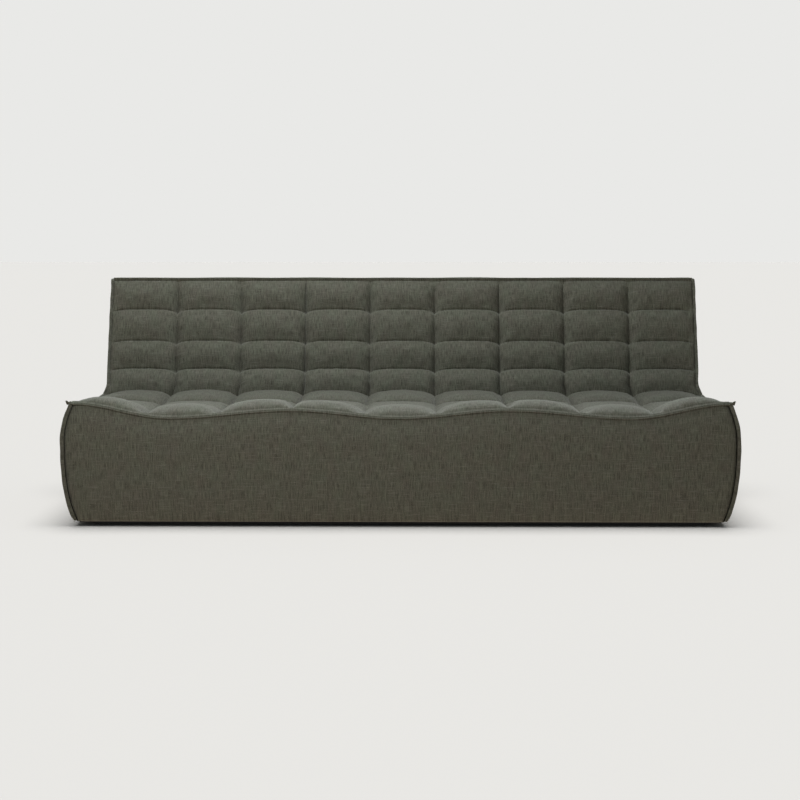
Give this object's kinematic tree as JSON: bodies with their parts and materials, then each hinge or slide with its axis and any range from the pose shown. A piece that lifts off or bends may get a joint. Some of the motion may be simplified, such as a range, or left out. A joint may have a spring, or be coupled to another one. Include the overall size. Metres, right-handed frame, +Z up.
{
  "type": "three-seater sofa",
  "caption": "Low armless lounge sofa: a tufted seat and raked tufted back in one run, plain front, padded sides, sewn edge flanges and a recessed black base.",
  "frame": {"origin": "on the floor under the middle of the overall box", "axes": "+X along the sofa to the right as seen from the front, +Y to the rear, +Z up; the front faces -Y"},
  "size_m": [2.1, 0.91, 0.76],
  "materials": {
    "olive_weave": "coarse flecked weave, dark olive grey",
    "flange_weave": "folded and top-stitched edge of the same weave",
    "foam": "cut polyurethane foam",
    "wadding": "polyester wadding",
    "plywood": "raw birch plywood",
    "softwood": "planed pine",
    "hardboard": "raw hardboard",
    "spring_steel": "drawn spring wire",
    "zinc_screw": "zinc plated",
    "clip_nylon": "moulded nylon",
    "felt": "grey needle felt",
    "webbing": "black elastic webbing",
    "black_plinth": "matt black painted strip",
    "glide_nylon": "black nylon",
    "dust_cloth": "black non-woven cloth"
  },
  "bodies": {
    "root": {"back_foam_centre": "foam", "back_foam_left": "foam", "back_foam_right": "foam", "back_quilt_centre": "olive_weave", "back_quilt_left": "olive_weave", "back_quilt_right": "olive_weave", "back_webbing": "webbing", "corner_blocks": "softwood", "dust_cover": "dust_cloth", "frame_screws": "zinc_screw", "front_cover_centre": "olive_weave", "front_cover_left": "olive_weave", "front_cover_right": "olive_weave", "front_flange": "flange_weave", "front_pad": "foam", "front_rail": "softwood", "gable_left": "plywood", "gable_right": "plywood", "glides": "glide_nylon", "lumbar_rail": "softwood", "plinth_front": "black_plinth", "plinth_left": "black_plinth", "plinth_rear": "black_plinth", "plinth_right": "black_plinth", "plinth_screws": "zinc_screw", "rear_base_rail": "softwood", "rear_cover_centre": "olive_weave", "rear_cover_left": "olive_weave", "rear_cover_right": "olive_weave", "rear_panel": "hardboard", "rear_wadding": "wadding", "rib_left": "plywood", "rib_right": "plywood", "seat_foam_centre": "foam", "seat_foam_left": "foam", "seat_foam_right": "foam", "seat_quilt_centre": "olive_weave", "seat_quilt_left": "olive_weave", "seat_quilt_right": "olive_weave", "seat_springs": "spring_steel", "side_cover_left": "olive_weave", "side_cover_right": "olive_weave", "side_flange_left": "flange_weave", "side_flange_right": "flange_weave", "side_pad_left": "foam", "side_pad_right": "foam", "spring_clips": "clip_nylon", "spring_felt": "felt", "spring_rail": "softwood", "top_cover": "olive_weave", "top_front_flange": "flange_weave", "top_pad": "foam", "top_rail": "softwood", "top_rear_flange": "flange_weave"}
  },
  "joints": []
}
